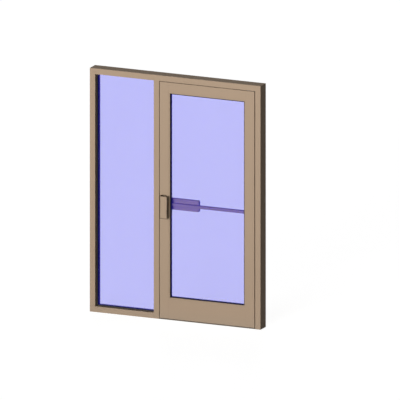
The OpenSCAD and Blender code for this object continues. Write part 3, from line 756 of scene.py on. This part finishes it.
class ENTRANCE_OT_fit_screws(bpy.types.Operator):
    """Sets the screws of the crossbar bracket, of the exit device's end and of the threshold"""

    bl_idname = "entrance.fit_screws"
    bl_label = "Fit the screws"

    def execute(self, context):
        fittings = context.scene.entrance_fittings
        steel = metal_material(
            "screw steel", base=context.scene.entrance_finish.steel, roughness=0.28,
            lines=(300.0, 300.0, 300.0), contrast=0.15, metallic=0.9, index=1.5, dust=0.0)
        normals = np.eye(3)
        for name, node, face, along, spread in SCREW_PAIRS:
            low, high = box_of(node)
            middle = (low + high) / 2.0
            middle[face] = high[face]
            step = normals[along] * ((high[along] - low[along]) * spread)
            screw_heads(name, (middle - step, middle + step), normals[face], fittings, steel,
                        "door")
        low, high = box_of("threshold")
        xs = np.linspace(low[X] + THRESHOLD_ENDS[0], high[X] - THRESHOLD_ENDS[1],
                         THRESHOLD_SCREWS)
        ys = (low[Y] * THRESHOLD_ROW, high[Y] * THRESHOLD_ROW)
        screw_heads("threshold_screws", [(x, y, high[Z]) for x in xs for y in ys], normals[Z],
                    fittings, steel, "frame")
        return {"FINISHED"}


class ENTRANCE_OT_build_studio(bpy.types.Operator):
    """Sets the white floor, the pale surroundings, two soft lamps and the camera"""

    bl_idname = "entrance.build_studio"
    bl_label = "Build the studio"

    def execute(self, context):
        scene, studio = context.scene, context.scene.entrance_studio
        self.build_floor(scene, studio)
        self.build_world(scene, studio)
        self.add_lamp(scene, "front lamp", studio.key_from, studio.key, studio.softness)
        rear = self.add_lamp(
            scene, "rear lamp", studio.rear_from, studio.rear, studio.rear_softness)
        rear.visible_glossy = False
        self.add_camera(scene, studio)
        scene.view_settings.view_transform = "Standard"
        return {"FINISHED"}

    def build_floor(self, scene, studio):
        """A round floor at Z = 0, with its rim at floor_r * cos(turn) and floor_r * sin(turn).
        Its white glows in part, so that the soft shadow on it stays faint."""
        turn = np.linspace(0.0, 2.0 * math.pi, FLOOR_POINTS, endpoint=False)
        rim = np.stack([np.cos(turn), np.sin(turn), np.zeros_like(turn)], axis=-1)
        mesh = bpy.data.meshes.new("floor")
        mesh.from_pydata((studio.floor_r * rim).tolist(), [], [list(range(FLOOR_POINTS))])
        floor = bpy.data.objects.new("floor", mesh)
        scene.collection.objects.link(floor)
        material, tree, shader, output = new_material("studio floor")
        set_sockets(shader, {"Base Color": rgba((studio.floor_shade,) * 3), "Roughness": 1.0,
                             "Specular IOR Level": 0.0})
        glow = new_node(tree, "ShaderNodeEmission", (600, -300), {"Color": WHITE})
        level = math_node(tree, "MULTIPLY", (420, -300), {1: studio.floor_glow})
        both = new_node(tree, "ShaderNodeAddShader", (760, 0))
        tree.links.new(seen_white(tree, (-400, -300)), level.inputs[0])
        tree.links.new(level.outputs[0], glow.inputs["Strength"])
        tree.links.new(shader.outputs["BSDF"], both.inputs[0])
        tree.links.new(glow.outputs["Emission"], both.inputs[1])
        tree.links.new(both.outputs["Shader"], output.inputs["Surface"])
        mesh.materials.append(material)

    def build_world(self, scene, studio):
        """White where it is seen or mirrored, and a low even light on matt surfaces."""
        world = bpy.data.worlds.new("studio")
        world.use_nodes = True
        tree = world.node_tree
        tree.nodes.clear()
        sky = new_node(tree, "ShaderNodeBackground", (400, 0), {"Color": WHITE})
        strength = new_node(tree, "ShaderNodeMix", (200, 0), {2: studio.ambient, 3: 1.0},
                            data_type="FLOAT")
        output = new_node(tree, "ShaderNodeOutputWorld", (600, 0))
        tree.links.new(seen_white(tree, (-600, 0)), strength.inputs[0])
        tree.links.new(strength.outputs[0], sky.inputs["Strength"])
        tree.links.new(sky.outputs["Background"], output.inputs["Surface"])
        scene.world = world

    def add_lamp(self, scene, name, toward, strength, softness):
        """A lamp as far as the sun, shining from the direction toward, and not seen itself
        through the panes."""
        lamp = bpy.data.lights.new(name, "SUN")
        lamp.energy = strength
        lamp.angle = softness
        holder = bpy.data.objects.new(name, lamp)
        holder.visible_transmission = False
        holder.rotation_euler = Vector(toward).to_track_quat("Z", "Y").to_euler()
        scene.collection.objects.link(holder)
        return holder

    def add_camera(self, scene, studio):
        """A camera without perspective, aimed at the point that the picture's middle shows."""
        camera = bpy.data.cameras.new("camera")
        camera.type = "ORTHO"
        camera.ortho_scale = studio.view_w
        camera.clip_end = CLIP_END
        back = Vector((math.sin(studio.azimuth) * math.cos(studio.elevation),
                       -math.cos(studio.azimuth) * math.cos(studio.elevation),
                       math.sin(studio.elevation)))
        holder = bpy.data.objects.new("camera", camera)
        aim = Vector((studio.aim_x, 0.0, studio.aim_z))
        holder.matrix_world = (Matrix.Translation(aim + studio.distance * back)
                               @ back.to_track_quat("Z", "Y").to_matrix().to_4x4())
        scene.collection.objects.link(holder)
        scene.camera = holder


STEPS = (
    ENTRANCE_OT_build_studio,
    ENTRANCE_OT_finish_metal,
    ENTRANCE_OT_finish_rubber,
    ENTRANCE_OT_glaze,
    ENTRANCE_OT_fit_beads,
    ENTRANCE_OT_fit_seals,
    ENTRANCE_OT_fit_screws,
)


class ENTRANCE_PT_panel(bpy.types.Panel):
    """Settings and steps of the entrance"""

    bl_label = "Glazed entrance"
    bl_idname = "ENTRANCE_PT_panel"
    bl_space_type = "VIEW_3D"
    bl_region_type = "UI"
    bl_category = "Entrance"

    def draw(self, context):
        for name, group in GROUPS.items():
            box = self.layout.box()
            box.label(text=group.__doc__)
            for key in group.__annotations__:
                box.prop(getattr(context.scene, name), key)
        for step in STEPS:
            self.layout.operator(step.bl_idname)


def register():
    """Registers the settings, the operators and the panel."""
    for group in (*GROUPS.values(), *STEPS, ENTRANCE_PT_panel):
        bpy.utils.register_class(group)
    for name, group in GROUPS.items():
        setattr(bpy.types.Scene, name, bpy.props.PointerProperty(type=group))


def unregister():
    """Takes them away again."""
    for name in GROUPS:
        delattr(bpy.types.Scene, name)
    for group in (ENTRANCE_PT_panel, *reversed(STEPS), *reversed(GROUPS.values())):
        bpy.utils.unregister_class(group)


def main():
    """Runs every step in order."""
    register()
    bpy.ops.entrance.build_studio()
    bpy.ops.entrance.finish_metal()
    bpy.ops.entrance.finish_rubber()
    bpy.ops.entrance.glaze()
    bpy.ops.entrance.fit_beads()
    bpy.ops.entrance.fit_seals()
    bpy.ops.entrance.fit_screws()


if __name__ == "__main__":
    main()
